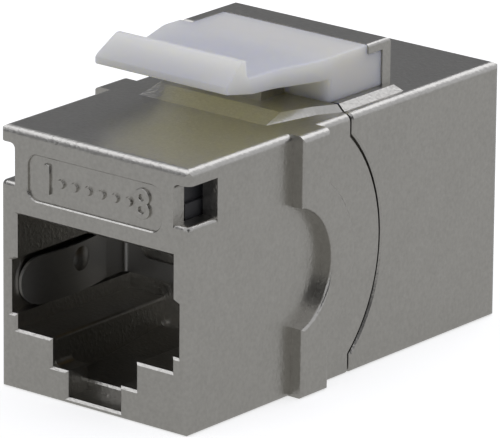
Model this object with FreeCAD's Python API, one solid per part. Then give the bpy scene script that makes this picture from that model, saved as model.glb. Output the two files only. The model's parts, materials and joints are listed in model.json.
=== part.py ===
import FreeCAD, Part
import math
import os

from FreeCAD import Vector

# A shielded keystone coupler: two die-cast half shells with a plug port at each end,
# a snap latch on top, and the contacts, carriers, shields and board inside.
# Millimetres. Y runs from the front face (0) to the rear face while the pieces are made.

# Housing block
body_width = 14.3
body_height = 16.0
body_depth = 29.2
top_edge_radius = 0.5
low_edge_radius = 0.2
side_low_edge_radius = 0.3
upright_edge_radius = 0.45

# Seam between the half shells: straight at top and bottom, a round tongue on each side
seam_y = 14.8
seam_gap = 0.16
seam_bevel = 0.11
round_centre_y = 8.3
round_centre_z = 7.95
seam_radius = 9.35

# Shoulder ribs on the sides, each with a round bay that opens to the front
rib_front = 9.4
rib_rear = 11.85
rib_proud = 0.86
rib_bay_radius = 3.85
rib_rear_radius = 5.95
rib_edge_radius = 0.22

# Plug port, the same at both ends, with the plug's tab below
port_half_width = 5.9
port_top = 10.72
port_shelf = 3.69
port_depth = 10.3
port_lead_in = 0.14
side_slot_half_width = 6.35
side_slot_low = 4.62
side_slot_high = 7.85
side_slot_slope = 0.2
tab_slot_half_width = 3.2
tab_slot_floor = 1.97
tab_tip_half_width = 2.0
tab_tip_floor = 0.36
tab_catch_depth = 1.83
tab_catch_top = 0.99
tab_catch_edge = 0.12
tab_ramp_end = 9.9
mouth_depth = 0.4
shelf_edge_radius = 0.2
slot_corner_radius = 0.35

# Walls and inner chambers
front_wall = 0.95
back_wall = 0.9
chamber_half_width = 6.05
chamber_floor = 1.2
chamber_top = 15.25
collar_half_width = 6.55
collar_floor = 0.7
collar_top = 15.6

# Marking panel and corner notches on the front face
panel_half_width = 5.05
panel_low = 11.85
panel_high = 14.62
panel_depth = 0.17
panel_radius = 0.75
panel_bevel = 0.07
notch_inner = 5.98
notch_depth = 2.55
notch_low = 12.63
notch_high = 15.04
notch_radius = 0.35
notch_edge_radius = 0.3

# Raised pad under the latch, with sloped sides and a ramp at its front
pad_height = 0.4
pad_slope = 0.42
pad_half_width = 6.5
pad_waist = (5.7, 13.4)
pad_tip = (4.8, 9.75)
pad_ramp_end = 11.4
pad_rear = 20.55

# Stop for the latch arm, right in front of the latch's foot
stop_half_width = 2.3
stop_front = 12.4
stop_top = 17.25
stop_edge = 0.2

# Latch frame on the rear shell: a left wall, a rear wall and a lip, open to the right
frame_left = -6.14
frame_right = 5.7
frame_front = 15.24
frame_rear = 20.3
frame_top = 19.2
frame_edge_radius = 0.25
pocket_left = -5.3
pocket_rear = 19.54
lip_front = 18.2
lip_under = 18.62

# Latch: a foot held in the frame and an arm that bends at its root
foot_front = 14.55
foot_right = 5.67
foot_front_top = 17.6
foot_edge_radius = 0.35
root_y = 15.05
root_z = 18.45
root_radius = 0.6
root_clearance = 0.03
root_slot_y = 15.5
arm_rear = 15.35
arm_top_rear = 19.2
arm_top_front = 19.33
arm_under_front = 18.26
arm_under_y = 8.3
tab_half_width = 5.0
tab_top_left = -4.6
tab_top_right = 4.95
tab_nose_y = 5.95
tab_nose_low = 18.72
tab_nose_high = 19.17
tab_top = 20.42
tab_top_front = 7.38
tab_top_rear = 7.78
wing_start = 10.4
wing_full = 13.6
wing_rear = 15.05
tab_edge_radius = 0.12
tab_nose_radius = 0.15
tab_foot_radius = 0.3
tab_corner_radius = 0.25
wing_radius = 3.0
arm_belly_radius = 2.0

# Contacts, their carriers and the board between them
contact_count = 8
contact_pitch = 1.02
contact_width = 0.4
contact_thickness = 0.35
contact_top = 13.375
contact_bend_y = 3.6
contact_bend_radius = 0.9
contact_slope = 30.0
contact_leg = 6.0
slot_width = 0.6
slot_front = 2.2
carrier_front = 1.2
carrier_nose_rear = 3.0
carrier_nose_half_width = 5.6
carrier_ledge_half_width = 5.85
carrier_ledge_top = 13.5
board_thickness = 1.2
board_half_width = 5.9
board_low = 1.4
board_high = 15.1
board_radius = 0.8

# Shield: one stamping, with a tongue in each side slot and a band across the port's back wall
spring_thickness = 0.2
spring_low = 4.72
spring_high = 7.72
spring_front = 0.7
spring_bend_y = 8.4
spring_crest_y = 4.4
spring_crest_x = 5.62
spring_tip_x = 6.12
spring_tip_radius = 1.45
spring_bend_radius = 0.5
band_high = 5.85
band_half_width = 4.9
band_radius = 0.7
dimple_y = 5.5
dimple_z = 6.72
dimple_radius = 0.7
dimple_height = 0.2

# How far a raised piece reaches into what carries it and a cut past the face it opens,
# and how close two points count as the same
sink = 0.2
past = 1.0
near = 0.01

half_width = body_width / 2
X_AXIS = Vector(1, 0, 0)
Y_AXIS = Vector(0, 1, 0)
Z_AXIS = Vector(0, 0, 1)


def xy(x, y):
    return Vector(x, y, 0)


def xz(x, z):
    return Vector(x, 0, z)


def yz(y, z):
    return Vector(0, y, z)


def box(x_span, y_span, z_span):
    """A box from its low and high limit along each axis."""
    corner = Vector(x_span[0], y_span[0], z_span[0])
    return Part.makeBox(x_span[1] - x_span[0], y_span[1] - y_span[0], z_span[1] - z_span[0], corner)


def prism(wire, axis, low, high):
    """A flat outline through the origin, pushed along its axis from low to high."""
    face = Part.Face(wire)
    face.translate(axis * low)
    return face.extrude(axis * (high - low))


def outline(start, *steps):
    """A closed outline of straight steps, given as points, and arcs, given as (middle, end) pairs."""
    edges = []
    here = start
    for step in steps:
        if isinstance(step, tuple):
            middle, there = step
            edges.append(Part.Arc(here, middle, there).toShape())
        else:
            there = step
            edges.append(Part.LineSegment(here, there).toShape())
        here = there
    edges.append(Part.LineSegment(here, start).toShape())
    return Part.Wire(edges)


def rounded(corners):
    """A closed outline of straight runs with each corner, given as (point, radius), rounded off."""
    arcs = []
    for index, (corner, radius) in enumerate(corners):
        before = (corners[index - 1][0] - corner).normalize()
        after = (corners[(index + 1) % len(corners)][0] - corner).normalize()
        half_angle = before.getAngle(after) / 2
        reach = radius / math.tan(half_angle)
        inward = (before + after).normalize()
        middle = corner + inward * (radius / math.sin(half_angle) - radius)
        arcs.append((corner + before * reach, middle, corner + after * reach))
    edges = []
    for index, (entry, middle, leave) in enumerate(arcs):
        if corners[index][1] > 0:
            edges.append(Part.Arc(entry, middle, leave).toShape())
        following = arcs[(index + 1) % len(arcs)][0]
        if leave.distanceToPoint(following) > near:
            edges.append(Part.LineSegment(leave, following).toShape())
    return Part.Wire(edges)


def polar(centre_y, centre_z, radius, degrees):
    """A point on a circle in the side view."""
    angle = math.radians(degrees)
    return yz(centre_y + radius * math.cos(angle), centre_z + radius * math.sin(angle))


def half_chord(radius, at_y):
    """Half the height of the round at a given depth."""
    return math.sqrt(radius ** 2 - (at_y - round_centre_y) ** 2)


def mirror_x(shape):
    return shape.mirror(Vector(0, 0, 0), X_AXIS)


def to_rear(shape):
    """The same shape at the other end of the housing."""
    return shape.mirror(Vector(0, body_depth / 2, 0), Y_AXIS)


# Housing

def across_profile(half):
    """The housing's section across, with soft top edges."""
    return rounded([
        (xz(-half, 0), side_low_edge_radius),
        (xz(half, 0), side_low_edge_radius),
        (xz(half, body_height), top_edge_radius),
        (xz(-half, body_height), top_edge_radius),
    ])


def housing_block():
    along = rounded([
        (yz(0, 0), low_edge_radius),
        (yz(body_depth, 0), low_edge_radius),
        (yz(body_depth, body_height), top_edge_radius),
        (yz(0, body_height), top_edge_radius),
    ])
    plan = rounded([
        (xy(-half_width, 0), upright_edge_radius),
        (xy(half_width, 0), upright_edge_radius),
        (xy(half_width, body_depth), upright_edge_radius),
        (xy(-half_width, body_depth), upright_edge_radius),
    ])
    block = prism(across_profile(half_width), Y_AXIS, 0, body_depth)
    block = block.common(prism(along, X_AXIS, -half_width, half_width))
    return block.common(prism(plan, Z_AXIS, 0, body_height))


def front_region(gap):
    """All that lies in front of the seam, moved back by a gap."""
    seam = seam_y + gap
    radius = seam_radius + gap
    rise = half_chord(radius, seam)
    crest = polar(round_centre_y, round_centre_z, radius, 0)
    wire = outline(
        yz(-past, -past),
        yz(seam, -past),
        yz(seam, round_centre_z - rise),
        (crest, yz(seam, round_centre_z + rise)),
        yz(seam, body_height + past),
        yz(-past, body_height + past),
    )
    return prism(wire, X_AXIS, -body_width, body_width)


def bevel_seam(block, gap):
    """Eases the outer edges of a half block along the seam, but not where the pad crosses it."""
    rim = []
    for edge in block.Edges:
        middle = edge.valueAt((edge.FirstParameter + edge.LastParameter) / 2)
        straight = abs(middle.y - seam_y - gap) < near and edge.BoundBox.YLength < near
        from_centre = math.hypot(middle.y - round_centre_y, middle.z - round_centre_z)
        turned = abs(from_centre - seam_radius - gap) < near and abs(middle.x) > half_width - near
        across = abs(middle.x) < near and middle.z > near
        if (straight or turned) and not across:
            rim.append(edge)
    return block.makeChamfer(seam_bevel, rim)


def shoulder_ribs():
    """The pair of ribs that stop behind the panel."""
    bay = half_chord(rib_bay_radius, rib_front)
    back = half_chord(rib_rear_radius, rib_rear)
    wire = outline(
        yz(rib_front, 0),
        yz(rib_front, round_centre_z - bay),
        (polar(round_centre_y, round_centre_z, rib_bay_radius, 0), yz(rib_front, round_centre_z + bay)),
        yz(rib_front, body_height),
        yz(rib_rear, body_height),
        yz(rib_rear, round_centre_z + back),
        (polar(round_centre_y, round_centre_z, rib_rear_radius, 0), yz(rib_rear, round_centre_z - back)),
        yz(rib_rear, 0),
    )
    outer = half_width + rib_proud
    rib = prism(wire, X_AXIS, half_width - rib_proud, outer)
    rim = [e for e in rib.Edges if e.BoundBox.XMin > outer - near and e.BoundBox.ZLength > near]
    rib = rib.makeFillet(rib_edge_radius, rim)
    rib = rib.common(prism(across_profile(outer), Y_AXIS, 0, body_depth))
    return [rib, mirror_x(rib)]


def port_profile(edge_radius, corner_radius):
    """The port's outline down to the floor of the tab slot, with the given rounds beside the slot."""
    right = [
        (xz(port_half_width, port_top), 0),
        (xz(port_half_width, side_slot_high + side_slot_slope), 0),
        (xz(side_slot_half_width, side_slot_high), 0),
        (xz(side_slot_half_width, side_slot_low), 0),
        (xz(port_half_width, side_slot_low), 0),
        (xz(port_half_width, port_shelf), 0),
        (xz(tab_slot_half_width, port_shelf), edge_radius),
        (xz(tab_slot_half_width, tab_slot_floor), corner_radius),
    ]
    left = [(xz(-p.x, p.z), radius) for p, radius in reversed(right)]
    return rounded(right + left)


def mouth_profile():
    """The port's sharp outline on the face, with the narrow step for the tab's tip."""
    step = [
        xz(tab_tip_half_width, tab_slot_floor),
        xz(tab_tip_half_width, tab_tip_floor),
        xz(-tab_tip_half_width, tab_tip_floor),
        xz(-tab_tip_half_width, tab_slot_floor),
    ]
    corners = [v.Point for v in port_profile(0, 0).OrderedVertexes]
    middle = len(corners) // 2
    return outline(*corners[:middle], *step, *corners[middle:])


def tab_room():
    """The step for the tab's tip and, behind it, the room where the tab snaps in, with a sloped floor."""
    top = tab_slot_floor + slot_corner_radius
    step = outline(
        yz(0, tab_tip_floor),
        yz(tab_catch_depth, tab_tip_floor),
        yz(tab_catch_depth, tab_catch_top - tab_catch_edge),
        yz(tab_catch_depth + tab_catch_edge, tab_catch_top),
        yz(tab_catch_depth + tab_catch_edge, top),
        yz(0, top),
    )
    room = outline(
        yz(tab_catch_depth, tab_catch_top),
        yz(tab_ramp_end, tab_slot_floor),
        yz(tab_ramp_end, top),
        yz(tab_catch_depth, top),
    )
    return [
        prism(step, X_AXIS, -tab_tip_half_width, tab_tip_half_width),
        prism(room, X_AXIS, -tab_slot_half_width, tab_slot_half_width),
    ]


def port_tool():
    """The space that a plug and its tab take up, with an eased mouth."""
    mouth = mouth_profile()
    throat = port_profile(shelf_edge_radius, slot_corner_radius)
    flare = Part.Face(mouth).makeOffset2D(port_lead_in, 2).OuterWire
    inner = mouth.copy()
    inner.translate(Y_AXIS * port_lead_in)
    lead_in = Part.makeLoft([flare, inner], True, True)
    face = prism(mouth, Y_AXIS, -past, mouth_depth)
    throat = prism(throat, Y_AXIS, mouth_depth, port_depth)
    return throat.fuse([face, lead_in] + tab_room())


def upper_chamber():
    """The room above the front port for the contacts and their carrier."""
    return box(
        (-chamber_half_width, chamber_half_width),
        (front_wall, body_depth / 2),
        (port_top, chamber_top),
    )


def collar():
    """The inner rim of the front shell that the rear shell slides over."""
    rear = body_depth - port_depth - back_wall
    outer = box((-collar_half_width, collar_half_width), (seam_y - past, rear), (collar_floor, collar_top))
    inner = box((-chamber_half_width, chamber_half_width), (0, body_depth), (chamber_floor, chamber_top))
    return outer.cut(inner)


def pad(base, top):
    """A low raised pad from its outline on the housing and the outline of its flat top."""
    wires = []
    for corners, z in ((base, body_height), (top, body_height + pad_height)):
        points = corners + [(-x, y) for x, y in reversed(corners)]
        wires.append(Part.makePolygon([Vector(x, y, z) for x, y in points + points[:1]]))
    return Part.makeLoft(wires, True, True)


def front_pad():
    waist_x, waist_y = pad_waist
    tip_x, tip_y = pad_tip
    base = [(pad_half_width, seam_y), (waist_x, waist_y), (tip_x, tip_y)]
    top = [
        (pad_half_width - pad_slope, seam_y),
        (waist_x - pad_slope, waist_y),
        (tip_x - pad_slope / 2, pad_ramp_end),
    ]
    return pad(base, top)


def rear_pad():
    front = seam_y + seam_gap
    base = [(pad_half_width, pad_rear), (pad_half_width, front)]
    top = [(pad_half_width - pad_slope, pad_rear - pad_height), (pad_half_width - pad_slope, front)]
    return pad(base, top)


def latch_stop():
    block = box(
        (-stop_half_width, stop_half_width),
        (stop_front, foot_front),
        (body_height - sink, stop_top),
    )
    rim = [e for e in block.Edges if e.BoundBox.ZMin > stop_top - near]
    return block.makeChamfer(stop_edge, rim)


def latch_frame():
    """The frame that holds the latch's foot: its lip grips the foot from above."""
    block = box((frame_left, frame_right), (frame_front, frame_rear), (body_height - sink, frame_top))
    rim = [e for e in block.Edges if e.BoundBox.ZMin > frame_top - near]
    block = block.makeFillet(frame_edge_radius, rim)
    floor = body_height + pad_height
    pocket = outline(
        yz(frame_front - past, floor),
        yz(pocket_rear, floor),
        yz(pocket_rear, lip_under),
        yz(lip_front, lip_under),
        yz(lip_front, frame_top + past),
        yz(frame_front - past, frame_top + past),
    )
    return block.cut(prism(pocket, X_AXIS, pocket_left, frame_right + past))


def on_notch_floor(edge):
    """Whether an edge runs round the outside of a corner notch's floor."""
    span = edge.BoundBox
    level = abs(span.ZMin - notch_low) < near and span.ZLength < near
    rounded_front = span.YMax < upright_edge_radius + near
    outside = rounded_front or min(abs(span.XMin), abs(span.XMax)) > half_width - near
    return level and outside and span.YMin < notch_depth and abs(span.Center.x) > notch_inner


def on_panel_rim(edge):
    """Whether an edge runs round the marking panel in the front face."""
    span = edge.BoundBox
    in_width = max(abs(span.XMin), abs(span.XMax)) < panel_half_width + near
    in_height = span.ZMin > panel_low - near and span.ZMax < panel_high + near
    return span.YMax < near and in_width and in_height


def front_shell():
    shell = bevel_seam(housing_block().common(front_region(0)), 0)
    shell = shell.fuse(shoulder_ribs() + [front_pad(), latch_stop()])
    rear_room = box(
        (-chamber_half_width, chamber_half_width),
        (port_depth + back_wall, body_depth),
        (chamber_floor, chamber_top),
    )
    panel = rounded([
        (xz(-panel_half_width, panel_low), panel_radius),
        (xz(panel_half_width, panel_low), panel_radius),
        (xz(panel_half_width, panel_high), panel_radius),
        (xz(-panel_half_width, panel_high), panel_radius),
    ])
    corner = rounded([
        (xz(notch_inner, notch_low), 0),
        (xz(body_width, notch_low), 0),
        (xz(body_width, notch_high), 0),
        (xz(notch_inner, notch_high), notch_radius),
    ])
    notch = prism(corner, Y_AXIS, -past, notch_depth)
    tools = [
        upper_chamber(),
        rear_room,
        port_tool(),
        prism(panel, Y_AXIS, -past, panel_depth),
        notch,
        mirror_x(notch),
    ]
    shell = shell.cut(tools).fuse(collar()).removeSplitter()
    shell = shell.makeFillet(notch_edge_radius, [e for e in shell.Edges if on_notch_floor(e)])
    return shell.makeChamfer(panel_bevel, [e for e in shell.Edges if on_panel_rim(e)])


def rear_shell():
    shell = bevel_seam(housing_block().cut(front_region(seam_gap)), seam_gap)
    rebate = box(
        (-collar_half_width, collar_half_width),
        (0, body_depth - port_depth - back_wall),
        (collar_floor, collar_top),
    )
    shell = shell.cut([rebate, to_rear(upper_chamber()), to_rear(port_tool())])
    return shell.fuse([rear_pad(), latch_frame()]).removeSplitter()


# Latch

def latch_foot():
    groove = root_radius + root_clearance
    slot_angle = math.degrees(math.acos((root_slot_y - root_y) / groove))
    floor = body_height + pad_height
    wire = outline(
        yz(foot_front, floor),
        yz(pocket_rear, floor),
        yz(pocket_rear, lip_under),
        yz(lip_front, lip_under),
        yz(lip_front, arm_top_rear),
        yz(root_slot_y, arm_top_rear),
        polar(root_y, root_z, groove, slot_angle),
        (polar(root_y, root_z, groove, (slot_angle - 90) / 2), polar(root_y, root_z, groove, -90)),
        yz(foot_front, foot_front_top),
    )
    foot = prism(wire, X_AXIS, pocket_left, foot_right)
    upright = [e for e in foot.Edges if e.BoundBox.YMax < foot_front + near and e.BoundBox.ZLength > near]
    return foot.makeFillet(foot_edge_radius, upright)


def latch_arm():
    side = rounded([
        (yz(tab_nose_y, tab_nose_low), tab_edge_radius),
        (yz(tab_nose_y, tab_nose_high), tab_nose_radius),
        (yz(tab_top_front, tab_top), tab_edge_radius),
        (yz(tab_top_rear, tab_top), tab_edge_radius),
        (yz(tab_top_rear, arm_top_front), tab_foot_radius),
        (yz(arm_rear, arm_top_rear), 0),
        (yz(arm_rear, root_z), 0),
        (yz(root_y, root_z - root_radius), 0),
        (yz(arm_under_y, arm_under_front), arm_belly_radius),
    ])
    plan = rounded([
        (xy(-tab_half_width, tab_nose_y), tab_corner_radius),
        (xy(tab_half_width, tab_nose_y), tab_corner_radius),
        (xy(tab_half_width, wing_start), wing_radius),
        (xy(frame_right, wing_full), wing_radius),
        (xy(frame_right, wing_rear), 0),
        (xy(foot_right, wing_rear), 0),
        (xy(foot_right, root_slot_y + root_radius), 0),
        (xy(pocket_left + root_clearance, root_slot_y + root_radius), 0),
        (xy(pocket_left + root_clearance, wing_rear), 0),
        (xy(frame_left, wing_rear), 0),
        (xy(frame_left, wing_full), wing_radius),
        (xy(-tab_half_width, wing_start), wing_radius),
    ])
    across = outline(
        xz(-half_width, body_height),
        xz(half_width, body_height),
        xz(half_width, arm_top_front),
        xz(tab_half_width, arm_top_front),
        xz(tab_top_right, tab_top),
        xz(tab_top_left, tab_top),
        xz(-tab_half_width, arm_top_front),
        xz(-half_width, arm_top_front),
    )
    knuckle = Part.makeCylinder(root_radius, body_width, Vector(-half_width, root_y, root_z), X_AXIS)
    bar = prism(side, X_AXIS, -half_width, half_width).fuse(knuckle)
    bar = bar.common(prism(plan, Z_AXIS, body_height, body_height + body_width))
    return bar.common(prism(across, Y_AXIS, 0, body_depth)).removeSplitter()


# Contacts, carrier, board and shield of the front port

def contact_x(number):
    return (number - (contact_count + 1) / 2) * contact_pitch


def contact(number):
    """A wire from the board, along the carrier's roof, round a bend and down into the port."""
    board_face = (body_depth - board_thickness) / 2
    bend_z = contact_top - contact_thickness / 2 - contact_bend_radius
    outer = contact_bend_radius + contact_thickness / 2
    inner = contact_bend_radius - contact_thickness / 2
    end = 270 - contact_slope
    leg = yz(math.cos(math.radians(contact_slope)), -math.sin(math.radians(contact_slope))) * contact_leg
    outer_leave = polar(contact_bend_y, bend_z, outer, end)
    inner_leave = polar(contact_bend_y, bend_z, inner, end)
    wire = outline(
        yz(board_face, contact_top),
        yz(contact_bend_y, contact_top),
        (polar(contact_bend_y, bend_z, outer, (90 + end) / 2), outer_leave),
        outer_leave + leg,
        inner_leave + leg,
        inner_leave,
        (polar(contact_bend_y, bend_z, inner, (90 + end) / 2), yz(contact_bend_y, bend_z + inner)),
        yz(board_face, contact_top - contact_thickness),
    )
    x = contact_x(number)
    return prism(wire, X_AXIS, x - contact_width / 2, x + contact_width / 2)


def carrier():
    """The moulded block over the port, slotted for each contact."""
    board_face = (body_depth - board_thickness) / 2
    nose_span = (carrier_front, carrier_nose_rear)
    nose = carrier_nose_half_width
    ledge = carrier_ledge_half_width
    blocks = [
        box((-nose, nose), nose_span, (port_top, chamber_top)),
        box((-ledge, ledge), nose_span, (port_top, carrier_ledge_top)),
    ]
    main = box(
        (-chamber_half_width, chamber_half_width),
        (carrier_nose_rear, board_face),
        (port_top, chamber_top),
    )
    slots = []
    for number in range(1, contact_count + 1):
        x = contact_x(number)
        x_span = (x - slot_width / 2, x + slot_width / 2)
        slots.append(box(x_span, (slot_front, body_depth), (0, contact_top)))
    return main.fuse(blocks).cut(slots).removeSplitter()


def circuit_board():
    plan = rounded([
        (xz(-board_half_width, board_low), board_radius),
        (xz(board_half_width, board_low), board_radius),
        (xz(board_half_width, board_high), board_radius),
        (xz(-board_half_width, board_high), board_radius),
    ])
    return prism(plan, Y_AXIS, (body_depth - board_thickness) / 2, (body_depth + board_thickness) / 2)


def shield():
    """A stamping of two tongues, bowed into the port with round tips, and the band that joins them."""
    outer = side_slot_half_width
    inner = outer - spring_thickness
    band = port_depth - spring_thickness
    crest = spring_crest_x + spring_thickness
    tip = spring_tip_x + spring_thickness
    bend = spring_bend_radius * (1 - math.sqrt(0.5))
    turn = (spring_bend_radius - spring_thickness) * (1 - math.sqrt(0.5))
    wire = outline(
        xy(0, port_depth),
        xy(outer - spring_bend_radius, port_depth),
        (xy(outer - bend, port_depth - bend), xy(outer, port_depth - spring_bend_radius)),
        xy(outer, spring_bend_y),
        (xy(crest, spring_crest_y), xy(tip, spring_front)),
        xy(spring_tip_x, spring_front),
        (xy(spring_crest_x, spring_crest_y), xy(inner, spring_bend_y)),
        xy(inner, port_depth - spring_bend_radius),
        (xy(inner - turn, band - turn), xy(outer - spring_bend_radius, band)),
        xy(0, band),
    )
    strip = prism(wire, Z_AXIS, spring_low, spring_high)
    shape = rounded([
        (yz(spring_front, spring_low), spring_tip_radius),
        (yz(port_depth, spring_low), 0),
        (yz(port_depth, spring_high), 0),
        (yz(spring_front, spring_high), spring_tip_radius),
    ])
    window = rounded([
        (xz(-band_half_width, band_high), band_radius),
        (xz(band_half_width, band_high), band_radius),
        (xz(band_half_width, body_height), 0),
        (xz(-band_half_width, body_height), 0),
    ])
    tongue = strip.common(prism(shape, X_AXIS, 0, body_width)).cut(prism(window, Y_AXIS, 0, body_depth))
    ball = (dimple_radius ** 2 + dimple_height ** 2) / (2 * dimple_height)
    dimple = Part.makeSphere(ball, Vector(spring_crest_x - dimple_height + ball, dimple_y, dimple_z))
    keep = box((0, spring_crest_x + spring_thickness / 2), (0, body_depth), (0, body_height))
    half = tongue.fuse(dimple.common(keep))
    return half.fuse(mirror_x(half)).removeSplitter()


def save(name, shape):
    """Writes one piece, with the origin moved under the middle of the housing."""
    piece = shape.copy()
    piece.translate(Y_AXIS * (-body_depth / 2))
    piece.exportStep("parts/" + name + ".step")


os.makedirs("parts", exist_ok=True)
save("front_shell", front_shell())
save("rear_shell", rear_shell())
save("latch_foot", latch_foot())
save("latch_arm", latch_arm())
save("circuit_board", circuit_board())
save("front_carrier", carrier())
save("rear_carrier", to_rear(carrier()))
for number in range(1, contact_count + 1):
    save("front_contact_" + str(number), contact(number))
    save("rear_contact_" + str(number), to_rear(contact(number)))
save("front_shield", shield())
save("rear_shield", to_rear(shield()))
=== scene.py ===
import json
import math

import bmesh
import bpy
from mathutils import Matrix, Vector


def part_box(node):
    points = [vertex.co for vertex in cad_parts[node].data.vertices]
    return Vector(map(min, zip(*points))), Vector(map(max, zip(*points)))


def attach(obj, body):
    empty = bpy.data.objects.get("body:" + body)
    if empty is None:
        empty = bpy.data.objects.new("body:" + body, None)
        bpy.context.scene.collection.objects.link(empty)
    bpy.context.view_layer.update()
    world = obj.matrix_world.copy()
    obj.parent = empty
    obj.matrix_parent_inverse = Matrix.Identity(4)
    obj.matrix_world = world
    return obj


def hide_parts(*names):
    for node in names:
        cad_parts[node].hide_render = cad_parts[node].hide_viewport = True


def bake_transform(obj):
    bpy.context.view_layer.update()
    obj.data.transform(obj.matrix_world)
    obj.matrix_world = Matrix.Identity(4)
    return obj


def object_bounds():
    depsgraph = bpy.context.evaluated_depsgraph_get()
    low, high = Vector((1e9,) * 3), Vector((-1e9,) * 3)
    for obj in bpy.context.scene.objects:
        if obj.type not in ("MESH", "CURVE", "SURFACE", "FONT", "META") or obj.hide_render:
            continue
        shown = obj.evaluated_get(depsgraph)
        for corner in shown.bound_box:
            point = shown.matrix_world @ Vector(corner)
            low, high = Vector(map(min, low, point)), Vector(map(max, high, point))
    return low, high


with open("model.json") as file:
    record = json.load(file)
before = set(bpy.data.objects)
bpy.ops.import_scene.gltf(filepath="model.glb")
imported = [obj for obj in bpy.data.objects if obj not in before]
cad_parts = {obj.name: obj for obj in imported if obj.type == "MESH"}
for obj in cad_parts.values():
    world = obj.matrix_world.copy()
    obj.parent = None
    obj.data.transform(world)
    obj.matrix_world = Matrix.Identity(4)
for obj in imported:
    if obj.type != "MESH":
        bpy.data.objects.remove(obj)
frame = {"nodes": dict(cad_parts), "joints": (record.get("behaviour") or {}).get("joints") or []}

bl_info = {
    "name": "Keystone coupler looks",
    "version": (1, 0, 0),
    "blender": (4, 5, 0),
    "location": "3D View > Sidebar > Coupler",
    "description": "Finishes, snap latch, contact mark and studio of a shielded keystone coupler",
    "category": "Object",
}

MM = 0.001
IMAGE_WIDTH = 500

# The frame's own sizes
CAD_LOW, CAD_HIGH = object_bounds()
FRONT = CAD_LOW.y
ARM_LOW, ARM_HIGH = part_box("latch_arm")
FOOT_LOW, FOOT_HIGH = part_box("latch_foot")
HINGE = next(Vector(joint["pos_m"]) for joint in frame["joints"] if joint["name"] == "latch_press")

# Where a bend of the latch would start in the foot and end in the arm, counted from the hinge; the script
# does not bend the latch
BEND_START = Vector((0, 0.70, -0.45)) * MM
BEND_END = Vector((0, -0.65, 0.35)) * MM

# How finely round shapes are made, and how close points are merged
ARC_STEPS = 6
EDGE_STEPS = 4
STUD_SIDES = 24
MERGE_DISTANCE = 0.001 * MM

# Faces that meet at a sharper angle keep their edge, and large faces stay flat
SHARP_ANGLE = math.radians(50)
FLAT_WEIGHT = 100

# Middle of a noise that runs from 0 to 1
NOISE_MIDDLE = 0.5

# Height of a number in Blender's own font, as a share of the font's size
NUMBER_HEIGHT = 0.69


# Sizes and colours that a user would change

def length(label, about, millimetres):
    return bpy.props.FloatProperty(
        name=label, description=about, default=millimetres * MM, unit="LENGTH", precision=5)


def share(label, about, value):
    return bpy.props.FloatProperty(
        name=label, description=about, default=value, min=0, max=1, subtype="FACTOR")


def number(label, about, value):
    return bpy.props.FloatProperty(name=label, description=about, default=value)


def turn(label, about, degrees):
    return bpy.props.FloatProperty(
        name=label, description=about, default=math.radians(degrees), subtype="ANGLE")


def colour(label, about, value):
    return bpy.props.FloatVectorProperty(
        name=label, description=about, default=value, size=3, min=0, max=1, subtype="COLOR")


class NickelFinish(bpy.types.PropertyGroup):
    """Satin nickel plate on the die-cast shells"""
    light: colour("Light", "Nickel where the plate is brightest", (0.530, 0.518, 0.486))
    dark: colour("Dark", "Nickel in the dull clouds of the plate", (0.425, 0.414, 0.387))
    roughness: share("Roughness", "Mean roughness of the satin plate", 0.28)
    roughness_change: share("Roughness change", "How far the roughness varies with each noise", 0.012)
    grain: length("Grain", "Size of the blasted grain", 0.2)
    grain_depth: length("Grain depth", "Height of the blasted grain", 0.010)
    mottle: length("Mottle", "Size of the light and dark spots", 0.22)
    mottle_contrast: number("Mottle contrast", "How strongly the spots change the colour", 1.3)
    speck: length("Speck", "Size of the sparse specks", 0.26)
    speck_depth: length("Speck depth", "Height of the sparse specks", 0.005)
    speck_start: share("Speck start", "Level of the noise at which a speck begins", 0.5)
    speck_full: share("Speck full", "Level of the noise at which a speck has its full height", 0.66)
    peel: length("Ripple", "Size of the casting's soft ripple", 0.7)
    peel_depth: length("Ripple depth", "Height of the casting's soft ripple", 0.0012)
    cloud: length("Clouds", "Size of the dull clouds", 3.0)
    cloud_contrast: number("Cloud contrast", "How strongly the clouds change the colour", 0.4)


class ShieldFinish(bpy.types.PropertyGroup):
    """Bright rolled strip of the stamped shields"""
    light: colour("Light", "Strip along the bright rolling marks", (0.44, 0.434, 0.42))
    dark: colour("Dark", "Strip along the dull rolling marks", (0.34, 0.335, 0.325))
    roughness: share("Roughness", "Mean roughness of the strip", 0.4)
    roughness_change: share("Roughness change", "How far the roughness varies with the marks", 0.15)
    streak: length("Streak", "Width of a rolling mark", 0.05)
    streak_squeeze: share("Streak squeeze", "Scale of the pattern along a rolling mark", 0.03)
    streak_depth: length("Streak depth", "Depth of a rolling mark", 0.0008)


class GoldFinish(bpy.types.PropertyGroup):
    """Gold plate on the contact wires"""
    light: colour("Light", "Fresh gold plate", (0.80, 0.56, 0.22))
    dark: colour("Dark", "Gold plate where it is thin", (0.60, 0.41, 0.16))
    roughness: share("Roughness", "Mean roughness of the plate", 0.24)
    roughness_change: share("Roughness change", "How far the roughness varies with the wear", 0.16)
    wear: length("Wear", "Size of the thin patches", 0.5)
    grain: length("Grain", "Size of the plate's fine grain", 0.06)
    grain_depth: length("Grain depth", "Height of the plate's fine grain", 0.0006)


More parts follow.
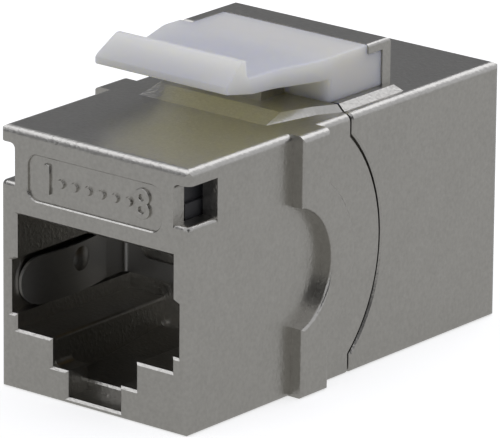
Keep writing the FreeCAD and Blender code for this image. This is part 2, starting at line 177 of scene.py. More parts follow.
class LatchFinish(bpy.types.PropertyGroup):
    """White plastic of the snap latch, which lets light through where it is thin"""
    light: colour("Light", "The moulding's white", (0.745, 0.727, 0.695))
    dark: colour("Dark", "The moulding's slightly duller clouds", (0.72, 0.702, 0.67))
    roughness: share("Roughness", "Mean roughness of the moulding", 0.5)
    roughness_change: share("Roughness change", "How far the roughness varies with the clouds", 0.14)
    arm_reach: length("Arm reach", "How far light travels in the thin arm", 8.5)
    arm_tint: colour("Arm tint", "Share of that reach for red, green and blue light", (1.0, 0.93, 0.5))
    foot_reach: length("Foot reach", "How far light travels in the thick foot", 2.0)
    foot_tint: colour("Foot tint", "Share of that reach for red, green and blue light", (1.0, 0.94, 0.7))
    fade: length("Fade", "Distance each way over which the arm turns into the foot", 3.0)
    cloud: length("Clouds", "Size of the duller clouds", 1.8)
    grain: length("Grain", "Size of the moulded grain", 0.12)
    grain_depth: length("Grain depth", "Height of the moulded grain", 0.001)


class CarrierFinish(bpy.types.PropertyGroup):
    """Black plastic of the contact carriers"""
    dark: colour("Dark", "The moulding's black", (0.042, 0.042, 0.046))
    light: colour("Light", "The moulding's paler flow marks", (0.072, 0.072, 0.077))
    roughness: share("Roughness", "Mean roughness of the moulding", 0.42)
    roughness_change: share("Roughness change", "How far the roughness varies with the grain", 0.2)
    flow: length("Flow", "Width of a flow mark", 0.8)
    flow_squeeze: share("Flow squeeze", "Scale of the pattern along a flow mark", 0.3)
    grain: length("Grain", "Size of the moulded grain", 0.12)
    grain_depth: length("Grain depth", "Height of the moulded grain", 0.001)


class BoardFinish(bpy.types.PropertyGroup):
    """Solder mask and tracks of the circuit board"""
    mask: colour("Mask", "Solder mask over bare board", (0.010, 0.075, 0.030))
    track: colour("Track", "Solder mask over copper", (0.022, 0.150, 0.055))
    roughness: share("Roughness", "Lowest roughness of the mask", 0.22)
    roughness_change: share("Roughness change", "How far the roughness rises in dull spots", 0.12)
    spot: length("Spot", "Size of the dull spots", 0.3)
    pitch: length("Track pitch", "Spacing of the tracks", 0.51)
    track_edge: share("Track edge", "Level of the wave across the board at which a track begins", 0.45)
    track_full: share("Track full", "Level of the wave at which a track has its full height", 0.6)
    track_height: length("Track height", "Height of a track under the mask", 0.02)
    wander: length("Wander", "Length over which a track wanders", 4.0)
    wander_reach: share("Wander reach", "How far a track wanders, as a share of the pitch", 0.6)


class LatchShape(bpy.types.PropertyGroup):
    """Snap latch, one moulding. Depths count from the front face and heights from the base"""
    edge: length("Edge", "Rounding of the edges along both sides", 0.1)
    deep_corner: length("Deep corner", "Rounding under the arm's root and behind the tab", 0.3)
    corner: length("Corner", "Rounding of the side outline's other corners", 0.15)
    nose_low: length("Nose low", "Height of the tab's lower front edge", 18.72)
    nose_high: length("Nose high", "Height of the tab's upper front edge", 19.17)
    tab_front: length("Ridge front", "Depth where the tab's ridge begins", 7.38)
    tab_rear: length("Ridge rear", "Depth where the tab's ridge ends", 7.78)
    tab_half_width: length("Tab half width", "Half the width of the tab at its foot", 5.0)
    tab_left_draft: length("Left draft", "How far the tab's left end leans in", 0.4)
    tab_right_draft: length("Right draft", "How far the tab's right end leans in", 0.05)
    top_front: length("Top front", "Height of the arm's top behind the tab", 19.33)
    under_front: length("Under front", "Height of the arm's underside at its front", 18.26)
    under_depth: length("Under depth", "Depth where the arm's underside bends up to the tab", 8.3)
    under_root: length("Under root", "Height of the arm's underside at its root", 17.86)
    belly: length("Belly", "Radius of the bend in the arm's underside", 2.0)
    wing_start: length("Wing start", "Depth where the arm begins to widen", 10.4)
    wing_full: length("Wing full", "Depth where the arm has its full width", 13.6)
    wing_rear: length("Wing rear", "Depth where the wings end before the housing's frame", 15.05)
    wing_soft: share("Wing rounding", "Share of the widening that is rounded at each end", 0.12)
    foot_corner: length("Foot corner", "Rounding of the foot's upright front edges", 0.35)
    lip_front: length("Lip front", "Depth of the step for the frame's lip", 18.2)
    lip_under: length("Lip under", "Height of the step for the frame's lip", 18.62)
    play: length("Play", "Room between the foot and the frame's walls", 0.02)
    spacing: length("Spacing", "Longest step between the cuts along the latch", 0.2)


class MarkShape(bpy.types.PropertyGroup):
    """Contact order mark on the front panel, two numbers with a stud for each contact between"""
    pitch: length("Pitch", "Spacing of the contacts", 1.02)
    contacts: bpy.props.IntProperty(
        name="Contacts", description="Number of contacts in the row", default=8)
    height: length("Height", "Height of the numbers", 1.7)
    proud: length("Proud", "How far the mark stands out of the panel", 0.165)
    bevel: length("Bevel", "Rounding of the mark's edges", 0.055)
    stud: length("Stud", "Radius of a stud at its foot", 0.3)
    stud_taper: share("Stud taper", "Radius of a stud's top as a share of its foot's", 0.8)
    bold: length("Bold", "How far a number's outline is moved outwards", 0.01)
    panel_depth: length("Panel depth", "How deep the panel lies in the front face", 0.17)
    panel_middle: length("Panel middle", "Height of the panel's middle", 13.235)


class StudioSettings(bpy.types.PropertyGroup):
    """Floor, light and camera"""
    floor: colour("Floor", "Colour of the paper floor", (0.7, 0.7, 0.7))
    floor_glow: number("Floor glow", "White added to the floor as it is seen", 0.62)
    floor_mirror: number("Floor mirrored", "Brightness of the floor as metal mirrors it", 0.52)
    mirror_share: share("Mirrored evenness", "How far shadows are evened out as metal mirrors them", 0.8)
    fibre: length("Fibre", "Size of the paper's fibres", 0.4)
    fibre_shade: share("Fibre shade", "Brightness of the darker fibres", 0.98)
    floor_radius: length("Floor radius", "Radius of the paper floor", 1600)
    floor_gap: length("Floor gap", "How far the paper lies under the base", 0.02)
    rim_height: length("Rim", "How far the paper rises at its rim", 260)
    light: colour("Light", "Colour of the lamps and the room", (0.94, 0.95, 1.0))
    room_light: number("Room", "Brightness of the room", 0.80)
    wall_light: number("Dark wall", "Brightness of the room's dark wall", 0.17)
    wall_azimuth: turn("Wall azimuth", "Bearing of the dark wall", -100)
    wall_elevation: turn("Wall elevation", "Elevation where the dark wall reaches farthest round", 15)
    wall_narrow: number("Wall narrowing", "How fast the dark wall ends above and below that", 2.0)
    wall_edge: number("Wall edge", "Cosine from the wall's bearing at which it begins", 0.2)
    wall_full: number("Wall full", "Cosine from the wall's bearing at which it is darkest", 0.5)
    corner_azimuth: turn("Corner azimuth", "Bearing of the dark corner", 50)
    corner_elevation: turn("Corner elevation", "Elevation of the dark corner's middle", 28)
    corner_light: number("Dark corner", "Brightness of the dark corner", 0.05)
    corner_edge: number("Corner edge", "Cosine from the corner's middle at which it begins", 0.9)
    corner_full: number("Corner full", "Cosine from the corner's middle at which it is darkest", 0.95)
    lamp_watts: number("Lamps", "Power of each soft box", 0.16)
    lamp_size: length("Lamp size", "Side of each soft box", 220)
    lamp_distance: length("Lamp distance", "How far the soft boxes stand from the coupler", 400)
    left_azimuth: turn("Left azimuth", "Bearing of the left soft box", -75)
    left_elevation: turn("Left elevation", "Height of the left soft box above the horizon", 52)
    back_azimuth: turn("Back azimuth", "Bearing of the soft box at the back", 180)
    back_elevation: turn("Back elevation", "Height of the soft box at the back above the horizon", 42)
    azimuth: turn("Azimuth", "Bearing of the camera", 39.061)
    elevation: turn("Elevation", "Height of the camera above the horizon", 17.826)
    roll: turn("Roll", "Turn of the camera about its line of sight", 0.497)
    distance: length("Distance", "Distance of the camera from the point that it looks at", 375.743)
    near: length("Near", "Nearest distance that the camera sees", 37.5)
    aim: bpy.props.FloatVectorProperty(
        name="Aim", description="Point that the camera looks at", size=3, unit="LENGTH", precision=5,
        default=(4.835 * MM, -6.257 * MM, 10.673 * MM))
    focal: number("Focal length", "Focal length in image pixels", 6472.93)


# Node trees

class Value:
    """An output socket. Arithmetic on it adds Math nodes to its tree."""

    def __init__(self, nodes, socket):
        self.nodes = nodes
        self.socket = socket

    def math(self, operation, first, second):
        return self.nodes.add("ShaderNodeMath", {"operation": operation}, {0: first, 1: second})

    def __add__(self, other):
        return self.math("ADD", self, other)

    def __sub__(self, other):
        return self.math("SUBTRACT", self, other)

    def __rsub__(self, other):
        return self.math("SUBTRACT", other, self)

    def __mul__(self, other):
        return self.math("MULTIPLY", self, other)

    def __truediv__(self, other):
        return self.math("DIVIDE", self, other)

    def __rtruediv__(self, other):
        return self.math("DIVIDE", other, self)

    def __or__(self, other):
        return self.math("MAXIMUM", self, other)

    __radd__ = __add__
    __rmul__ = __mul__


class Nodes:
    """A node tree that is built one call at a time."""

    def __init__(self, tree):
        self.tree = tree
        tree.nodes.clear()

    def add(self, kind, settings=None, sockets=None, output=0):
        """Adds a node, sets its settings and then its sockets, and returns one of its outputs."""
        node = self.tree.nodes.new(kind)
        for name, setting in (settings or {}).items():
            if name == "stops":
                self.set_stops(node.color_ramp, setting)
            else:
                setattr(node, name, setting)
        for key, value in (sockets or {}).items():
            if isinstance(value, Value):
                self.tree.links.new(value.socket, node.inputs[key])
            else:
                node.inputs[key].default_value = value
        return Value(self, node.outputs[output]) if node.outputs else None

    @staticmethod
    def set_stops(ramp, stops):
        """Gives a ramp its stops, each a place and a grey."""
        while len(ramp.elements) < len(stops):
            ramp.elements.new(1)
        for element, (place, shade) in zip(ramp.elements, stops):
            element.position = place
            element.color = (shade, shade, shade, 1)

    def place(self):
        """Where a point lies on the coupler."""
        return self.add("ShaderNodeTexCoord", output="Object")

    def along(self, axis, vector):
        """One coordinate of a vector."""
        return self.add("ShaderNodeSeparateXYZ", None, {0: vector}, output=axis)

    def noise(self, size, detail=2, stretch=None):
        """Soft noise with features of a size, drawn out along an axis if a stretch is given."""
        where = self.place()
        if stretch:
            where = self.add("ShaderNodeMapping", None, {"Vector": where, "Scale": stretch})
        return self.add("ShaderNodeTexNoise", None, {
            "Vector": where, "Scale": 1 / size, "Detail": detail})

    def step(self, value, low, high):
        """0 below a low value, 1 above a high one, and a smooth rise between them."""
        return self.add("ShaderNodeMapRange", {"interpolation_type": "SMOOTHSTEP"}, {
            "Value": value, "From Min": low, "From Max": high})

    def ramp(self, value, *stops):
        """A grey that changes from stop to stop as a value rises."""
        return self.add("ShaderNodeValToRGB", {"stops": stops}, {"Fac": value})

    def mix(self, amount, first, second):
        """A colour between two others."""
        return self.add("ShaderNodeMix", {"data_type": "RGBA"}, {
            "Factor": amount, 6: solid(first), 7: solid(second)}, output=2)

    def bump(self, height, depth):
        """A normal bent by a height from 0 to 1, where 1 stands a depth above 0."""
        return self.add("ShaderNodeBump", None, {"Height": height, "Distance": depth, "Strength": 1})

    def principled(self, **sockets):
        """A Principled shader. Underscores stand for the spaces in socket names."""
        return self.add("ShaderNodeBsdfPrincipled", None, {
            name.replace("_", " "): value for name, value in sockets.items()})

    def blend(self, amount, first, second):
        """A shader between two others."""
        return self.add("ShaderNodeMixShader", None, {0: amount, 1: first, 2: second})

    def end(self, shader):
        """Ends the tree in a shader."""
        self.add("ShaderNodeOutputMaterial", None, {"Surface": shader})

    def surface(self, **sockets):
        """Ends the tree in a Principled surface."""
        self.end(self.principled(**sockets))


def solid(shade):
    """A colour as a socket takes it, with full opacity."""
    return shade if isinstance(shade, Value) else (*shade, 1)


def material(build, settings):
    """A material that is made once by its own function and named after it."""
    name = "coupler_" + build.__name__
    made = bpy.data.materials.get(name)
    if made is None:
        made = bpy.data.materials.new(name)
        made.use_nodes = True
        build(Nodes(made.node_tree), settings)
    return made


# Materials

def nickel_plate(nodes, finish):
    grain = nodes.noise(finish.grain, detail=1)
    speck_noise = nodes.noise(finish.speck, detail=1)
    speck = nodes.ramp(speck_noise, (finish.speck_start, 0), (finish.speck_full, 1))
    peel = nodes.noise(finish.peel, detail=1)
    mottle = nodes.noise(finish.mottle) - NOISE_MIDDLE
    cloud = nodes.noise(finish.cloud, detail=3) - NOISE_MIDDLE
    tone = NOISE_MIDDLE + mottle * finish.mottle_contrast + cloud * finish.cloud_contrast
    height = grain * finish.grain_depth + speck * finish.speck_depth + peel * finish.peel_depth
    nodes.surface(
        Base_Color=nodes.mix(tone, finish.dark, finish.light),
        Metallic=1,
        Roughness=finish.roughness + (mottle + cloud) * finish.roughness_change,
        Normal=nodes.bump(height, 1),
    )


def rolled_strip(nodes, finish):
    streak = nodes.noise(finish.streak, stretch=(1, finish.streak_squeeze, 1))
    nodes.surface(
        Base_Color=nodes.mix(streak, finish.dark, finish.light),
        Metallic=1,
        Roughness=finish.roughness + (streak - NOISE_MIDDLE) * finish.roughness_change,
        Normal=nodes.bump(streak, finish.streak_depth),
    )


def gold_plate(nodes, finish):
    wear = nodes.noise(finish.wear, detail=3)
    nodes.surface(
        Base_Color=nodes.mix(wear, finish.light, finish.dark),
        Metallic=1,
        Roughness=finish.roughness + (wear - NOISE_MIDDLE) * finish.roughness_change,
        Normal=nodes.bump(nodes.noise(finish.grain), finish.grain_depth),
    )


def white_moulding(nodes, finish):
    """Plastic that lets light through the latch's thin arm and keeps it in the thick foot."""
    grain = nodes.noise(finish.grain)
    cloud = nodes.noise(finish.cloud, detail=3)
    depth = nodes.along("Y", nodes.place())
    in_foot = nodes.step(depth, FOOT_LOW.y - finish.fade, FOOT_LOW.y + finish.fade)

    def moulding(reach, tint):
        return nodes.principled(
            Base_Color=nodes.mix(cloud, finish.light, finish.dark),
            Roughness=finish.roughness + (cloud - NOISE_MIDDLE) * finish.roughness_change,
            Subsurface_Weight=1,
            Subsurface_Radius=tint,
            Subsurface_Scale=reach,
            Normal=nodes.bump(grain, finish.grain_depth),
        )

    arm = moulding(finish.arm_reach, finish.arm_tint)
    foot = moulding(finish.foot_reach, finish.foot_tint)
    nodes.end(nodes.blend(in_foot, arm, foot))


def black_moulding(nodes, finish):
    grain = nodes.noise(finish.grain)
    flow = nodes.noise(finish.flow, detail=3, stretch=(1, finish.flow_squeeze, 1))
    nodes.surface(
        Base_Color=nodes.mix(flow, finish.dark, finish.light),
        Roughness=finish.roughness + (grain - NOISE_MIDDLE) * finish.roughness_change,
        Normal=nodes.bump(grain, finish.grain_depth),
    )


def solder_mask(nodes, finish):
    """Tracks that run up the board at an even pitch, under a glossy mask."""
    across = nodes.along("X", nodes.place())
    wander = (nodes.noise(finish.wander, detail=1) - NOISE_MIDDLE) * finish.wander_reach
    turns = (across / finish.pitch + wander) * math.tau
    wave = nodes.add("ShaderNodeMath", {"operation": "SINE"}, {0: turns})
    track = nodes.ramp((wave + 1) / 2, (finish.track_edge, 0), (finish.track_full, 1))
    nodes.surface(
        Base_Color=nodes.mix(track, finish.mask, finish.track),
        Roughness=finish.roughness + nodes.noise(finish.spot) * finish.roughness_change,
        Normal=nodes.bump(track, finish.track_height),
    )


def paper(nodes, studio):
    """A floor that keeps shadows, lifted to white where it is seen and evened out where it is mirrored."""
    def path(name):
        return nodes.add("ShaderNodeLightPath", output=name)

    fibre = nodes.noise(studio.fibre)
    shaded = [studio.fibre_shade * part for part in studio.floor]
    matt = nodes.add("ShaderNodeBsdfDiffuse", None, {"Color": nodes.mix(fibre, studio.floor, shaded)})
    in_view = path("Is Camera Ray") | path("Is Transmission Ray")
    glow = nodes.add("ShaderNodeEmission", None, {"Strength": in_view * studio.floor_glow})
    seen = nodes.add("ShaderNodeAddShader", None, {0: matt, 1: glow})
    even = nodes.add("ShaderNodeEmission", None, {"Strength": studio.floor_mirror})
    nodes.end(nodes.blend(path("Is Glossy Ray") * studio.mirror_share, seen, even))


# Meshes

def rounded_outline(corners):
    """A closed outline from (depth, height, radius) corners, with an arc at each corner."""
    points = []
    for index, (depth, height, radius) in enumerate(corners):
        corner = Vector((depth, height))
        before = (Vector(corners[index - 1][:2]) - corner).normalized()
        after = (Vector(corners[(index + 1) % len(corners)][:2]) - corner).normalized()
        half = before.angle(after) / 2
        middle = corner + (before + after).normalized() * (radius / math.sin(half))
        start = corner + before * (radius / math.tan(half)) - middle
        sweep = math.copysign(math.pi - 2 * half, after.cross(before))
        for step in range(ARC_STEPS + 1):
            points.append(middle + Matrix.Rotation(sweep * step / ARC_STEPS, 2) @ start)
    return points


def outward(points):
    """The outward direction at each point of a closed outline that runs clockwise."""
    found = []
    for index in range(len(points)):
        along = points[(index + 1) % len(points)] - points[index - 1]
        found.append(Vector((-along.y, along.x)).normalized())
    return found


def bar(name, points, limits, edge, depths, heights):
    """A solid swept across the coupler along a side outline, with round edges. It is cut at some
    depths and heights, and each point then moves out to the left or right limit there."""
    mesh = bmesh.new()
    rows = []
    for side in (-1, 1):
        for step in range(EDGE_STEPS + 1):
            angle = math.pi / 2 * (EDGE_STEPS - step if side > 0 else step) / EDGE_STEPS
            aside = edge * (1 - math.cos(angle))
            inset = edge * (1 - math.sin(angle))
            rows.append([
                mesh.verts.new((side * (1 - aside), *(point - normal * inset)))
                for point, normal in zip(points, outward(points))])
    for first, second in zip(rows, rows[1:]):
        for index in range(len(points)):
            after = (index + 1) % len(points)
            mesh.faces.new((first[index], first[after], second[after], second[index]))
    mesh.faces.new(rows[0])
    mesh.faces.new(rows[-1])
    for axis, places in ((Vector((0, 1, 0)), depths), (Vector((0, 0, 1)), heights)):
        for place in places:
            everything = [*mesh.verts, *mesh.edges, *mesh.faces]
            bmesh.ops.bisect_plane(mesh, geom=everything, plane_co=axis * place, plane_no=axis)
    for vertex in mesh.verts:
        x, depth, height = vertex.co
        left, right = limits(depth, height)
        vertex.co.x = left + (1 + x) if x < 0 else right - (1 - x)
    bmesh.ops.remove_doubles(mesh, verts=mesh.verts, dist=MERGE_DISTANCE)
    bmesh.ops.recalc_face_normals(mesh, faces=mesh.faces)
    data = bpy.data.meshes.new(name)
    mesh.to_mesh(data)
    mesh.free()
    return show(name, data)


def show(name, data):
    """A new object in the scene."""
    piece = bpy.data.objects.new(name, data)
    bpy.context.scene.collection.objects.link(piece)
    return piece


def settle(piece):
    """Turns a piece with its modifiers into a plain mesh."""
    shown = piece.evaluated_get(bpy.context.evaluated_depsgraph_get())
    data = bpy.data.meshes.new_from_object(shown)
    piece.modifiers.clear()
    piece.data = data
    data.name = piece.name
    return piece


def soften(piece):
    """Smooth shading that keeps flat faces flat."""
    piece.data.polygons.foreach_set("use_smooth", [True] * len(piece.data.polygons))
    piece.data.set_sharp_from_angle(angle=SHARP_ANGLE)
    weighted = piece.modifiers.new("flat_faces", "WEIGHTED_NORMAL")
    weighted.weight = FLAT_WEIGHT
    weighted.keep_sharp = True
    return settle(piece)


def paint(piece, finish):
    """Gives a piece one material in place of any other."""
    piece.data.materials.clear()
    piece.data.materials.append(finish)


def paint_nodes(prefixes, finish):
    """Gives a material to every CAD node whose name starts so."""
    for name, node in frame["nodes"].items():
        if name.startswith(prefixes):
            paint(node, finish)


def ramp_between(value, soft):
    """0 before 0, 1 after 1 and straight between them, with both corners rounded."""
    def area(end):
        """Area under the ramp with sharp corners, up to its end."""
        if end < 0:
            return 0
        return end ** 2 / 2 if end < 1 else end - 1 / 2

    return (area(value + soft) - area(value - soft)) / (2 * soft)


# Snap latch

def latch_outline(shape):
    """Side view of the latch: tab, arm, and the foot with its step under the frame's lip."""
    round_corner = shape.corner
    deep_corner = shape.deep_corner
    rear = FOOT_HIGH.y - shape.play
    lip_front = FRONT + shape.lip_front - shape.play
    lip_under = shape.lip_under - shape.play
    corners = [
        (rear, FOOT_LOW.z, round_corner),
        (FOOT_LOW.y, FOOT_LOW.z, round_corner),
        (FOOT_LOW.y, shape.under_root, deep_corner),
        (FRONT + shape.under_depth, shape.under_front, shape.belly),
        (ARM_LOW.y, shape.nose_low, round_corner),
        (ARM_LOW.y, shape.nose_high, round_corner),
        (FRONT + shape.tab_front, ARM_HIGH.z, round_corner),
        (FRONT + shape.tab_rear, ARM_HIGH.z, round_corner),
        (FRONT + shape.tab_rear, shape.top_front, deep_corner),
        (FRONT + shape.wing_rear, FOOT_HIGH.z, round_corner),
        (lip_front, FOOT_HIGH.z, round_corner),
        (lip_front, lip_under, round_corner),
        (rear, lip_under, round_corner),
    ]
    return rounded_outline(corners)


def latch_limits(shape):
    """How far the latch reaches to the left and right: drafted tab ends, wings, and a foot with
    round upright edges. The left wing ends before the frame and above the foot."""
    def limits(depth, height):
        span = shape.wing_full - shape.wing_start
        wing = ramp_between((depth - FRONT - shape.wing_start) / span, shape.wing_soft)
        lean = max(0, height - shape.top_front) / (ARM_HIGH.z - shape.top_front)
        left = -shape.tab_half_width + lean * shape.tab_left_draft
        left += wing * (ARM_LOW.x + shape.tab_half_width)
        right = shape.tab_half_width - lean * shape.tab_right_draft
        right += wing * (FOOT_HIGH.x - shape.play - shape.tab_half_width)
        if height < shape.under_root:
            to_round = max(0, shape.foot_corner - (depth - FOOT_LOW.y))
            right -= shape.foot_corner - math.sqrt(max(0, shape.foot_corner ** 2 - to_round ** 2))
        if height < shape.under_root or depth > FRONT + shape.wing_rear:
            left = max(left, FOOT_LOW.x + shape.play)
        return left, right
    return limits


def stations(low, high, spacing):
    """Evenly spaced places between two limits, at most a spacing apart."""
    count = math.ceil((high - low) / spacing)
    return [low + (high - low) * step / count for step in range(1, count)]


def build_latch(shape):
    """The latch's mesh, cut finely wherever its width or its outline changes."""
    thin = shape.play / 2
    corner = FOOT_LOW.y
    wing_rear = FRONT + shape.wing_rear
    depths = stations(ARM_LOW.y, FOOT_HIGH.y, shape.spacing)
    depths += stations(corner, corner + shape.foot_corner, shape.foot_corner / ARC_STEPS)
    depths += [wing_rear - thin, wing_rear + thin]
    heights = [shape.under_root - thin, shape.under_root + thin, shape.top_front]
    latch = bar("snap_latch", latch_outline(shape), latch_limits(shape), shape.edge, depths, heights)
    return soften(latch)


# Contact order mark

def number_mesh(text, shape):
    """A raised number that faces the front, as a mesh about its own middle."""
    font = bpy.data.curves.new("number", "FONT")
    font.body = text
    font.size = shape.height / NUMBER_HEIGHT
    font.align_x = "CENTER"
    font.align_y = "CENTER"
    font.extrude = (shape.proud - shape.bevel) / 2
    font.bevel_depth = shape.bevel
    font.offset = shape.bold
    font.bevel_resolution = 2
    writing = show("number", font)
    data = bpy.data.meshes.new_from_object(writing.evaluated_get(bpy.context.evaluated_depsgraph_get()))
    bpy.data.objects.remove(writing)
    data.transform(Matrix.Rotation(math.pi / 2, 4, "X"))
    return data


def mark_numbers(shape):
    """The first and last number of the contact row, as one piece."""
    half_row = (shape.contacts - 1) * shape.pitch / 2
    floor = FRONT + shape.panel_depth
    joined = bmesh.new()
    for text, x in (("1", -half_row), (str(shape.contacts), half_row)):
        data = number_mesh(text, shape)
        low = min(vertex.co.y for vertex in data.vertices)
        data.transform(Matrix.Translation((x, floor - shape.proud - low, shape.panel_middle)))
        joined.from_mesh(data)
    data = bpy.data.meshes.new("mark_numbers")
    joined.to_mesh(data)
    joined.free()
    return show("mark_numbers", data)


def stud_tree():
    """A row of round studs along X, standing out towards the front."""
    tree = bpy.data.node_groups.new("stud_row", "GeometryNodeTree")
    inputs = {
        "Count": "Int", "Pitch": "Float", "Radius": "Float", "Taper": "Float", "Proud": "Float",
        "Middle": "Vector", "Material": "Material"}
    for name, kind in inputs.items():
        tree.interface.new_socket(name, in_out="INPUT", socket_type="NodeSocket" + kind)
    tree.interface.new_socket("Geometry", in_out="OUTPUT", socket_type="NodeSocketGeometry")
    nodes = Nodes(tree)
    given = {name: nodes.add("NodeGroupInput", output=name) for name in inputs}
    step = nodes.add("ShaderNodeCombineXYZ", None, {"X": given["Pitch"]})
    half_row = nodes.add("ShaderNodeCombineXYZ", None, {"X": (given["Count"] - 1) * given["Pitch"] / 2})
    first = nodes.add("ShaderNodeVectorMath", {"operation": "SUBTRACT"}, {
        0: given["Middle"], 1: half_row})
    row = nodes.add("GeometryNodeMeshLine", None, {
        "Count": given["Count"], "Start Location": first, "Offset": step})
    stud = nodes.add("GeometryNodeMeshCone", None, {
        "Vertices": STUD_SIDES, "Side Segments": 1, "Fill Segments": 2,
        "Radius Top": given["Radius"] * given["Taper"], "Radius Bottom": given["Radius"],
        "Depth": given["Proud"]})
    turned = nodes.add("GeometryNodeTransform", None, {
        "Geometry": stud, "Rotation": (math.pi / 2, 0, 0)})
    studs = nodes.add("GeometryNodeInstanceOnPoints", None, {"Points": row, "Instance": turned})
    real = nodes.add("GeometryNodeRealizeInstances", None, {"Geometry": studs})
    coated = nodes.add("GeometryNodeSetMaterial", None, {
        "Geometry": real, "Material": given["Material"]})
    nodes.add("NodeGroupOutput", None, {"Geometry": coated})
    return tree


def grow(name, tree, **inputs):
    """A plain mesh from a geometry tree and the values of its named inputs."""
    piece = show(name, bpy.data.meshes.new(name))
    modifier = piece.modifiers.new("grown", "NODES")
    modifier.node_group = tree
    for item in tree.interface.items_tree:
        if item.in_out == "INPUT":
            modifier[item.identifier] = inputs[item.name]
    return settle(piece)


def mark_studs(shape, finish):
    """A stud for each contact between the two numbers."""
    return grow(
        "mark_studs", stud_tree(), Count=shape.contacts - 2, Pitch=shape.pitch,
        Radius=shape.stud, Taper=shape.stud_taper, Proud=shape.proud, Material=finish,
        Middle=(0, FRONT + shape.panel_depth, shape.panel_middle))


# Studio

def sweep_mesh(studio, flat_rings=16, rim_rings=8, spokes=96):
    """A round paper floor that curves up at its rim."""
    mesh = bmesh.new()
    bend = studio.rim_height
    circles = []
    for ring in range(1, flat_rings + rim_rings + 1):
        angle = math.pi / 2 * max(0, ring - flat_rings) / rim_rings
        flat = studio.floor_radius * min(1, ring / flat_rings)
        radius = flat + bend * math.sin(angle)
        height = bend * (1 - math.cos(angle)) - studio.floor_gap
        circles.append([
            mesh.verts.new((radius * math.cos(math.tau * spoke / spokes),
                            radius * math.sin(math.tau * spoke / spokes), height))
            for spoke in range(spokes)])
    mesh.faces.new(circles[0])
    for inner, outer in zip(circles, circles[1:]):
        for spoke in range(spokes):
            after = (spoke + 1) % spokes
            mesh.faces.new((inner[spoke], outer[spoke], outer[after], inner[after]))
    data = bpy.data.meshes.new("paper_sweep")
    mesh.to_mesh(data)
    mesh.free()
    data.polygons.foreach_set("use_smooth", [True] * len(data.polygons))
    return data


def direction(azimuth, elevation):
    """From the coupler towards a bearing, where azimuth 0 is in front and 90 degrees to the right."""
    level = math.cos(elevation)
    return Vector((math.sin(azimuth) * level, -math.cos(azimuth) * level, math.sin(elevation)))


def add_lamp(name, studio, azimuth, elevation):
    """A soft box that faces the point that the camera looks at."""
    lamp = bpy.data.lights.new(name, "AREA")
    lamp.shape = "SQUARE"
    lamp.size = studio.lamp_size
    lamp.energy = studio.lamp_watts
    lamp.color = studio.light
    away = direction(azimuth, elevation)
    holder = show(name, lamp)
    holder.location = Vector(studio.aim) + away * studio.lamp_distance
    holder.rotation_euler = away.to_track_quat("Z", "Y").to_euler()


def add_camera(scene, studio):
    lens = bpy.data.cameras.new("camera")
    lens.lens = lens.sensor_width * studio.focal / IMAGE_WIDTH
    lens.clip_start = studio.near
    back = direction(studio.azimuth, studio.elevation)
    camera = show("camera", lens)
    camera.matrix_world = (
        Matrix.Translation(Vector(studio.aim) + back * studio.distance)
        @ back.to_track_quat("Z", "Y").to_matrix().to_4x4()
        @ Matrix.Rotation(studio.roll, 4, "Z"))
    scene.camera = camera


def light_room(scene, studio):
    """A bright room with a dark wall on the left and a dark corner at the front right."""
    scene.world = bpy.data.worlds.new("studio")
    scene.world.use_nodes = True
    nodes = Nodes(scene.world.node_tree)
    where = nodes.add("ShaderNodeTexCoord", output="Generated")

    def facing(azimuth, elevation):
        return nodes.add("ShaderNodeVectorMath", {"operation": "DOT_PRODUCT"}, {
            0: where, 1: direction(azimuth, elevation)}, output="Value")

    rise = nodes.along("Z", where) - math.sin(studio.wall_elevation)
    wall_side = facing(studio.wall_azimuth, 0) - rise * rise * studio.wall_narrow
    wall = nodes.step(wall_side, studio.wall_edge, studio.wall_full)
    corner_side = facing(studio.corner_azimuth, studio.corner_elevation)
    corner = nodes.step(corner_side, studio.corner_edge, studio.corner_full)
    strength = studio.room_light - wall * (studio.room_light - studio.wall_light)
    strength -= corner * (studio.room_light - studio.corner_light)
    room = nodes.add("ShaderNodeBackground", None, {
        "Color": solid(studio.light), "Strength": strength})
    nodes.add("ShaderNodeOutputWorld", None, {"Surface": room})


# Operators

class COUPLER_OT_shells(bpy.types.Operator):
    """Gives both die-cast half shells their satin nickel plate"""
    bl_idname = "coupler.shells"
    bl_label = "Plate the shells"

    def execute(self, context):
        finish = material(nickel_plate, context.scene.coupler_nickel)
        paint_nodes(("front_shell", "rear_shell"), finish)
        return {"FINISHED"}


class COUPLER_OT_shields(bpy.types.Operator):
    """Gives the stamped shields their bright rolled strip"""
    bl_idname = "coupler.shields"
    bl_label = "Finish the shields"

    def execute(self, context):
        finish = material(rolled_strip, context.scene.coupler_shield)
        paint_nodes(("front_shield", "rear_shield"), finish)
        return {"FINISHED"}


class COUPLER_OT_contacts(bpy.types.Operator):
    """Gold plates the contact wires of both ports"""
    bl_idname = "coupler.contacts"
    bl_label = "Plate the contacts"

    def execute(self, context):
        finish = material(gold_plate, context.scene.coupler_gold)
        paint_nodes(("front_contact_", "rear_contact_"), finish)
        return {"FINISHED"}


class COUPLER_OT_carriers(bpy.types.Operator):
    """Finishes the black contact carriers of both ports"""
    bl_idname = "coupler.carriers"
    bl_label = "Finish the carriers"

    def execute(self, context):
        finish = material(black_moulding, context.scene.coupler_carrier)
        paint_nodes(("front_carrier", "rear_carrier"), finish)
        return {"FINISHED"}


class COUPLER_OT_board(bpy.types.Operator):
    """Gives the circuit board its tracks and solder mask"""
    bl_idname = "coupler.board"
    bl_label = "Finish the board"

    def execute(self, context):
        finish = material(solder_mask, context.scene.coupler_board)
        paint_nodes("circuit_board", finish)
        return {"FINISHED"}


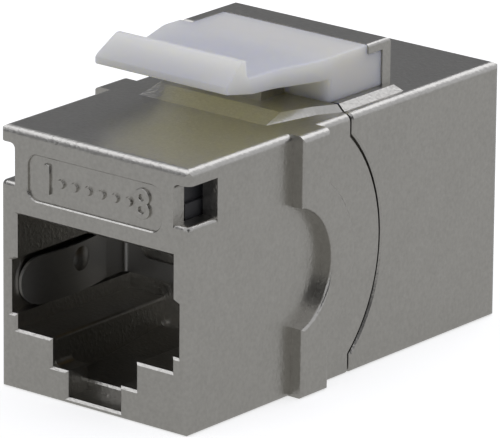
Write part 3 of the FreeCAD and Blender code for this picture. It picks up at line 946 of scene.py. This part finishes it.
class COUPLER_OT_latch(bpy.types.Operator):
    """Makes the white snap latch as one moulding, in place of the CAD foot and arm"""
    bl_idname = "coupler.latch"
    bl_label = "Mould the latch"

    def execute(self, context):
        latch = build_latch(context.scene.coupler_latch)
        if not latch.data.polygons:
            raise RuntimeError("the latch came out empty")
        paint(latch, material(white_moulding, context.scene.coupler_latch_finish))
        held = HINGE + BEND_START
        free = HINGE + BEND_END
        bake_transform(latch)
        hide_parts("latch_foot", "latch_arm")
        return {"FINISHED"}


class COUPLER_OT_mark(bpy.types.Operator):
    """Raises the contact order mark on the front panel"""
    bl_idname = "coupler.mark"
    bl_label = "Raise the mark"

    def execute(self, context):
        shape = context.scene.coupler_mark
        finish = material(nickel_plate, context.scene.coupler_nickel)
        numbers = mark_numbers(shape)
        paint(numbers, finish)
        for piece in (numbers, mark_studs(shape, finish)):
            if not piece.data.polygons:
                raise RuntimeError(piece.name + " came out empty")
            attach(piece, "housing")
        return {"FINISHED"}


class COUPLER_OT_studio(bpy.types.Operator):
    """Sets up the paper floor, the light and the camera"""
    bl_idname = "coupler.studio"
    bl_label = "Set up the studio"

    def execute(self, context):
        scene = context.scene
        studio = scene.coupler_studio
        floor = show("paper_sweep", sweep_mesh(studio))
        paint(floor, material(paper, studio))
        add_lamp("left_soft_box", studio, studio.left_azimuth, studio.left_elevation)
        add_lamp("back_soft_box", studio, studio.back_azimuth, studio.back_elevation)
        light_room(scene, studio)
        add_camera(scene, studio)
        scene.view_settings.view_transform = "Standard"
        return {"FINISHED"}


class COUPLER_PT_looks(bpy.types.Panel):
    """Lists the coupler's pieces and finishes"""
    bl_idname = "COUPLER_PT_looks"
    bl_label = "Keystone coupler"
    bl_space_type = "VIEW_3D"
    bl_region_type = "UI"
    bl_category = "Coupler"

    def draw(self, context):
        for operator in OPERATORS:
            self.layout.operator(operator.bl_idname)
        for name in GROUPS:
            group = getattr(context.scene, name)
            box = self.layout.box()
            box.label(text=group.bl_rna.description)
            for field in group.bl_rna.properties.keys():
                if field not in ("rna_type", "name"):
                    box.prop(group, field)


GROUPS = {
    "coupler_nickel": NickelFinish,
    "coupler_shield": ShieldFinish,
    "coupler_gold": GoldFinish,
    "coupler_latch_finish": LatchFinish,
    "coupler_carrier": CarrierFinish,
    "coupler_board": BoardFinish,
    "coupler_latch": LatchShape,
    "coupler_mark": MarkShape,
    "coupler_studio": StudioSettings,
}
OPERATORS = (
    COUPLER_OT_shells,
    COUPLER_OT_shields,
    COUPLER_OT_contacts,
    COUPLER_OT_carriers,
    COUPLER_OT_board,
    COUPLER_OT_latch,
    COUPLER_OT_mark,
    COUPLER_OT_studio,
)


def register():
    for name, group in GROUPS.items():
        bpy.utils.register_class(group)
        setattr(bpy.types.Scene, name, bpy.props.PointerProperty(type=group))
    for kind in (*OPERATORS, COUPLER_PT_looks):
        bpy.utils.register_class(kind)


def unregister():
    for kind in (COUPLER_PT_looks, *reversed(OPERATORS)):
        bpy.utils.unregister_class(kind)
    for name, group in reversed(GROUPS.items()):
        delattr(bpy.types.Scene, name)
        bpy.utils.unregister_class(group)


def main():
    register()
    bpy.ops.coupler.shells()
    bpy.ops.coupler.shields()
    bpy.ops.coupler.contacts()
    bpy.ops.coupler.carriers()
    bpy.ops.coupler.board()
    bpy.ops.coupler.latch()
    bpy.ops.coupler.mark()
    bpy.ops.coupler.studio()


if __name__ == "__main__":
    main()
